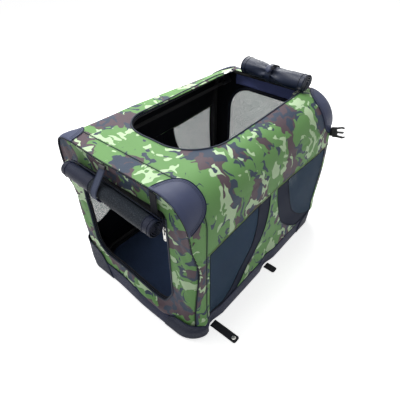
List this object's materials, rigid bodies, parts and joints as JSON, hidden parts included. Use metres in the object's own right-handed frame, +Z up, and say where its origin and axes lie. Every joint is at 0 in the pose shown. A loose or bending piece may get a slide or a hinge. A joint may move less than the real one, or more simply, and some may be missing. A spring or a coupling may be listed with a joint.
{
  "type": "pet travel crate",
  "caption": "Soft-sided folding pet travel crate with a rolled-up front door, a roof opening, mesh windows and a folding tube frame.",
  "frame": {"origin": "middle of the base, on the plane it stands on, measured on the crate's box without its straps", "axes": "+Z up, -Y out through the doorway, +X to the crate's right seen from above with the doorway towards the viewer"},
  "size_m": [0.5782, 0.6647, 0.4895],
  "materials": {
    "fabric_camo": null,
    "fabric_navy": "matt navy woven polyester",
    "fabric_black": "black binding and zip tape",
    "mesh": "fine dark polyester mesh",
    "webbing": "ribbed black polyester webbing",
    "mat": "navy brushed cloth over thin wadding",
    "board": "thin fibreboard",
    "steel_tube": "dark powder coat",
    "plastic": "moulded black",
    "zip_metal": "bright nickel plate"
  },
  "bodies": {
    "crate": {"cover_wrap": "fabric_camo", "front_collar": "fabric_camo", "front_panel": "fabric_camo", "rear_panel": "fabric_camo", "side_panel_left": "fabric_camo", "side_panel_right": "fabric_camo", "base_band": "fabric_navy", "roof_door_roll": "fabric_navy", "roof_roll_tie": "fabric_navy", "window_band_front_left": "fabric_navy", "window_band_front_right": "fabric_navy", "window_band_rear_left": "fabric_navy", "window_band_rear_right": "fabric_navy", "shoulder_patch_front_left": "fabric_navy", "shoulder_patch_front_right": "fabric_navy", "shoulder_patch_rear_left": "fabric_navy", "shoulder_patch_rear_right": "fabric_navy", "front_piping": "fabric_black", "rear_piping": "fabric_black", "doorway_zip_tape": "fabric_black", "roof_zip_tape": "fabric_black", "rear_window_binding": "fabric_black", "window_front_left": "mesh", "window_front_right": "mesh", "window_rear_left": "mesh", "window_rear_right": "mesh", "rear_window": "mesh", "front_door_roll": "mesh", "roll_strap_left": "webbing", "roll_strap_right": "webbing", "floor_mat": "mat", "floor_board": "board", "base_ring": "steel_tube", "bracket_front_left": "plastic", "bracket_front_right": "plastic", "bracket_rear_left": "plastic", "bracket_rear_right": "plastic", "roll_toggle": "plastic"},
    "rear_hoop": {"rear_hoop": "steel_tube"},
    "front_hoop": {"front_hoop": "steel_tube"},
    "top_rail_left": {"top_rail_left": "steel_tube", "rail_clip_front_left": "plastic", "rail_clip_rear_left": "plastic"},
    "top_rail_right": {"top_rail_right": "steel_tube", "rail_clip_front_right": "plastic", "rail_clip_rear_right": "plastic"},
    "front_zip_slider": {"front_zip_slider": "zip_metal"},
    "front_zip_pull": {"front_zip_pull": "zip_metal"},
    "roof_left_zip_slider": {"roof_left_zip_slider": "zip_metal"},
    "roof_left_zip_pull": {"roof_left_zip_pull": "zip_metal"},
    "roof_right_zip_slider": {"roof_right_zip_slider": "zip_metal"},
    "roof_right_zip_pull": {"roof_right_zip_pull": "zip_metal"},
    "base_strap_front_left": {"base_strap_front_left": "webbing", "strap_snap_left": "zip_metal"},
    "base_strap_front_right": {"base_strap_front_right": "webbing", "strap_snap_right": "zip_metal"},
    "base_strap_middle_left": {"base_strap_middle_left": "webbing"},
    "base_strap_middle_right": {"base_strap_middle_right": "webbing"},
    "rear_strap": {"rear_strap": "webbing", "rear_buckle": "plastic"}
  },
  "joints": [
    {"name": "rear_hoop_fold", "type": "hinge", "parent": "crate", "child": "rear_hoop", "pos_m": [0, 0.2845, 0.085], "axis": [1, 0, 0], "range_deg": [0, 87]},
    {"name": "front_hoop_fold", "type": "hinge", "parent": "crate", "child": "front_hoop", "pos_m": [0, -0.2845, 0.045], "axis": [1, 0, 0], "range_deg": [-90, 0]},
    {"name": "top_rail_left_drop", "type": "slide", "parent": "crate", "child": "top_rail_left", "axis": [0, 0, -1], "range_m": [0, 0.3677]},
    {"name": "top_rail_right_drop", "type": "slide", "parent": "crate", "child": "top_rail_right", "axis": [0, 0, -1], "range_m": [0, 0.3677]},
    {"name": "front_zip_slide", "type": "slide", "parent": "crate", "child": "front_zip_slider", "axis": [0, 0, -1], "range_m": [0, 0.18]},
    {"name": "front_pull_swing", "type": "hinge", "parent": "front_zip_slider", "child": "front_zip_pull", "pos_m": [0.136, -0.3, 0.339], "axis": [-1, 0, 0], "range_deg": [0, 95]},
    {"name": "roof_left_zip_slide", "type": "slide", "parent": "crate", "child": "roof_left_zip_slider", "axis": [0, -1, 0], "range_m": [0, 0.31]},
    {"name": "roof_left_pull_swing", "type": "hinge", "parent": "roof_left_zip_slider", "child": "roof_left_zip_pull", "pos_m": [-0.116, 0.249, 0.4443], "axis": [-1, 0, 0], "range_deg": [0, 120]},
    {"name": "roof_right_zip_slide", "type": "slide", "parent": "crate", "child": "roof_right_zip_slider", "axis": [0, -1, 0], "range_m": [0, 0.31]},
    {"name": "roof_right_pull_swing", "type": "hinge", "parent": "roof_right_zip_slider", "child": "roof_right_zip_pull", "pos_m": [0.116, 0.249, 0.4443], "axis": [-1, 0, 0], "range_deg": [0, 120]},
    {"name": "base_strap_front_left_lift", "type": "hinge", "parent": "crate", "child": "base_strap_front_left", "pos_m": [-0.2111, -0.232, 0.0008], "axis": [0, 1, 0], "range_deg": [0, 85]},
    {"name": "base_strap_front_right_lift", "type": "hinge", "parent": "crate", "child": "base_strap_front_right", "pos_m": [0.2111, -0.232, 0.0008], "axis": [0, -1, 0], "range_deg": [0, 85]},
    {"name": "base_strap_middle_left_lift", "type": "hinge", "parent": "crate", "child": "base_strap_middle_left", "pos_m": [-0.2111, 0.02, 0.0008], "axis": [0, 1, 0], "range_deg": [0, 85]},
    {"name": "base_strap_middle_right_lift", "type": "hinge", "parent": "crate", "child": "base_strap_middle_right", "pos_m": [0.2111, 0.02, 0.0008], "axis": [0, -1, 0], "range_deg": [0, 85]},
    {"name": "rear_strap_swing", "type": "hinge", "parent": "crate", "child": "rear_strap", "pos_m": [0.2111, 0.294, 0.333], "axis": [0, 0, 1], "range_deg": [-50, 50]}
  ],
  "couplings": [
    {"joint": "front_hoop_fold", "follows": "rear_hoop_fold", "ratio": -1.0344},
    {"joint": "top_rail_left_drop", "follows": "rear_hoop_fold", "m_per_rad": 0.2421},
    {"joint": "top_rail_right_drop", "follows": "rear_hoop_fold", "m_per_rad": 0.2421}
  ]
}
